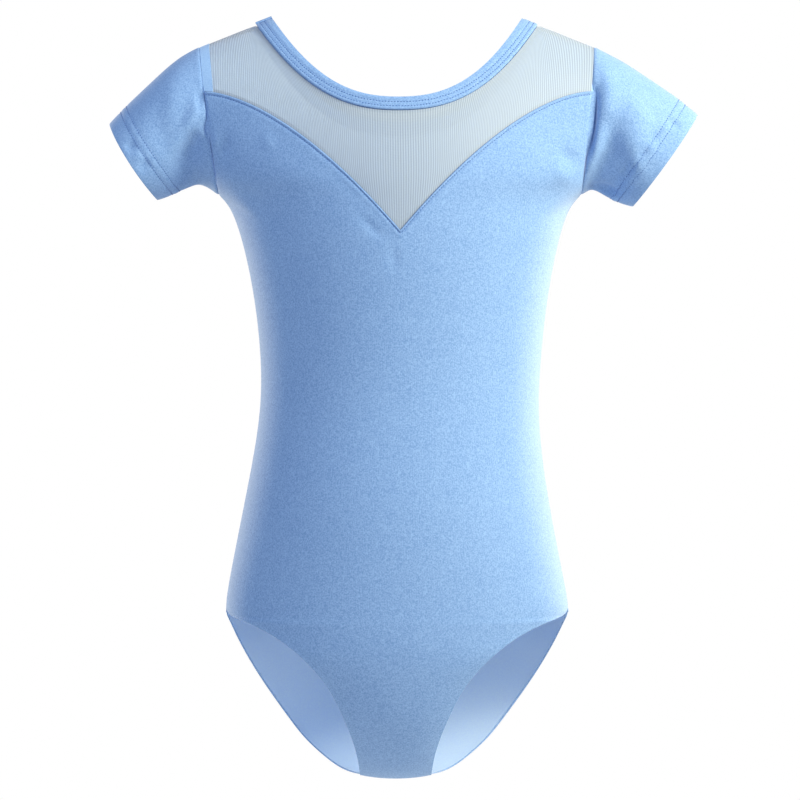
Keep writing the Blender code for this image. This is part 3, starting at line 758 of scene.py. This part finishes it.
# %% Join of the neck band
JOIN_PROFILE = [(-3.5, 0.1), (-2.0, 0.9), (0.5, 1.2), (3.0, 1.7), (4.6, 1.3), (5.0, -0.4)]
JOIN_NEEDLE = 5.5
JOIN_PITCH = 1.3 * MM
band_columns = np.swapaxes(band_rows, 0, 1)
join_at = band_rows[-1][:, 0].argmin()
here = band_columns[join_at]
beside_it = (band_columns[join_at - 1], band_columns[(join_at + 1) % len(band_columns)])
forward = min(beside_it, key=lambda column: column[0, 1])
along = (forward - here) / np.linalg.norm(forward - here, axis=1, keepdims=True)
out = outward(band_rows, True)[:, join_at]
loop = [here + (along * distance + out * height) * MM for distance, height in JOIN_PROFILE]
join = smooth_sheet("neck_band_join", np.stack(loop, axis=1), 3)
join_line = here + along * JOIN_NEEDLE * MM
join_stitches = sew("neck_join_stitches", [on_piece(binding, join_line)], JOIN_PITCH)
print("join at, mm:", [round(v / MM, 1) for v in here[-1]])

# %% [markdown]
# Every sheet now gets a thin wall, inwards from its face: 0.9 mm of jersey, 0.5 mm of net or of a flattened
# allowance, and 1.8 mm for the neck band, which is cloth folded over cloth.

# %% Walls
for piece in (front, back, yoke, sleeve_right, sleeve_left, binding):
    print(piece.name, "area, m2:", round(sum(p.area for p in piece.data.polygons), 5))
CREASE_ANGLE = math.radians(60)
JERSEY_THICKNESS = 0.9 * MM
NET_THICKNESS = 0.5 * MM
BAND_THICKNESS = 1.8 * MM


def wall(piece, thickness, right_side, wrong_side):
    """Gives a sheet its thickness, with one finish outside and one inside."""
    piece.data.materials.append(right_side)
    piece.data.materials.append(wrong_side)
    inner = 0 if right_side == wrong_side else 1
    finish_with(
        piece, "SOLIDIFY", thickness=thickness, offset=-1.0, use_quality_normals=True,
        material_offset=inner, material_offset_rim=0,
    )
    work_on(piece)
    bpy.ops.object.shade_smooth_by_angle(angle=CREASE_ANGLE)


# Inside, these walls take the wrong side's finish, paled with painted light.
for piece in (front, back, sleeve_right, sleeve_left):
    wall(piece, JERSEY_THICKNESS, jersey_right, jersey_wrong_side_with_painted_light)
for piece in (yoke_strip, neck_strip, *side_strips, *back_strips, *shoulder_strips):
    wall(piece, NET_THICKNESS, jersey_right, jersey_right)
# These allowances take the jersey lightened with painted light.
for piece in (armhole_strip_right, armhole_strip_left):
    wall(piece, NET_THICKNESS, jersey_allowance_with_painted_light, jersey_allowance_with_painted_light)
for piece in (yoke, net_strip):
    wall(piece, NET_THICKNESS, stretch_net, stretch_net)
wall(binding, BAND_THICKNESS, jersey_right, jersey_right)
wall(join, JERSEY_THICKNESS, jersey_right, jersey_right)

# %% [markdown]
# Each piece and its trims are hung from one body, and the imported solid that it stands for is hidden.
# The table lists the piece, the solid it stands for, the finish slot it takes, for cloth the flat size and
# area that it was cut to before it was sewn, and its trims. This script does not use the slot, the size or
# the area.

# %% Attach the pieces and hide the solids
right_trims = [hem_stitches_right, armhole_strip_right]
left_trims = [hem_stitches_left, armhole_strip_left]
band_trims = [band_stitches, neck_strip, join, join_stitches]
PIECES = [
    (front, "body_front", "jersey", (0.34, 0.50), 0.110, [yoke_stitches, yoke_strip, *side_strips]),
    (back, "body_back", "jersey", (0.36, 0.58), 0.137, [*back_strips, *shoulder_strips]),
    (yoke, "yoke_front", "net", (0.30, 0.16), 0.0162, [net_strip]),
    (sleeve_right, "sleeve_right", "jersey", (0.28, 0.11), 0.0160, right_trims),
    (sleeve_left, "sleeve_left", "jersey", (0.28, 0.11), 0.0160, left_trims),
    (binding, "neck_binding", "binding", (0.61, 0.0115), None, band_trims),
]
for piece, node, slot, flat, area, trims in PIECES:
    for part in [piece, *trims]:
        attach(part, "root")
    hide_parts(node)

# %% [markdown]
# The studio is a pale round floor below the garment and a white surrounding. One broad light stands on the
# garment's left, which is the picture's right, and a weak one on the other side fills the shade. A strip at
# each side, a little behind, gives the pale bands along the body.

# %% Studio
FLOOR_RADIUS = 0.9
FLOOR_LEVEL = -0.9
bpy.ops.mesh.primitive_circle_add(
    vertices=96, radius=FLOOR_RADIUS, fill_type="NGON", location=(0, 0, FLOOR_LEVEL)
)
floor = bpy.context.object
floor.name = "floor"
paper, _, paper_shader, _ = new_finish("white studio paper")
paper_shader.inputs["Base Color"].default_value = linear("d6d9de")
paper_shader.inputs["Roughness"].default_value = 0.9
floor.data.materials.append(paper)

FROM_BELOW, FROM_ABOVE = 0.22, 0.74
world = bpy.data.worlds.new("white surrounding")
world.use_nodes = True
sky = world.node_tree
backdrop = sky.nodes["Background"]
backdrop.inputs["Color"].default_value = (1, 1, 1, 1)
direction = add(sky, "TexCoord")
height = add(sky, "SeparateXYZ", [("Vector", direction.outputs["Generated"])])
soft = add(sky, "MapRange", [("Value", height.outputs["Z"])], From_Min=-1.0)
soft.inputs["To Min"].default_value = FROM_BELOW
soft.inputs["To Max"].default_value = FROM_ABOVE
glow = add(sky, "Background", [("Strength", soft.outputs["Result"])], Color=(1, 1, 1, 1))
seen = add(sky, "LightPath")
mixed_skies = [(1, glow.outputs["Background"]), (2, backdrop.outputs["Background"])]
choose = add(sky, "MixShader", [(0, seen.outputs["Is Camera Ray"]), *mixed_skies])
sky.links.new(choose.outputs["Shader"], sky.nodes["World Output"].inputs["Surface"])
bpy.context.scene.world = world
bpy.context.scene.view_settings.view_transform = "Standard"


def light(name, place, aim, width, height, power, tint="ffffff"):
    """A rectangular light at a place, turned to shine at its aim."""
    data = bpy.data.lights.new(name, "AREA")
    data.shape = "RECTANGLE"
    data.size, data.size_y = width, height
    data.energy = power
    data.color = linear(tint)[:3]
    lamp = bpy.data.objects.new(name, data)
    lamp.location = place
    lamp.rotation_euler = (Vector(aim) - Vector(place)).to_track_quat("-Z", "Y").to_euler()
    bpy.context.scene.collection.objects.link(lamp)


light("key", (1.0, -0.58, 0.35), (0, 0, -0.1), 0.6, 0.6, 33.0, "ffefc8")
light("fill", (-0.6, -0.85, 0.3), (0, 0, -0.05), 0.6, 0.6, 3.1)
light("strip right", (1.05, 0.8, -0.2), (0, 0, -0.2), 0.2, 0.7, 27.0, "ffdca4")
light("strip left", (-1.0, 0.9, -0.2), (0, 0, -0.2), 0.2, 0.7, 21.0, "ffe2b4")

# %% Measure and finish
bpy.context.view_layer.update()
for piece, *_ in PIECES:
    print(piece.name, "triangles:", sum(len(p.vertices) - 2 for p in piece.data.polygons))
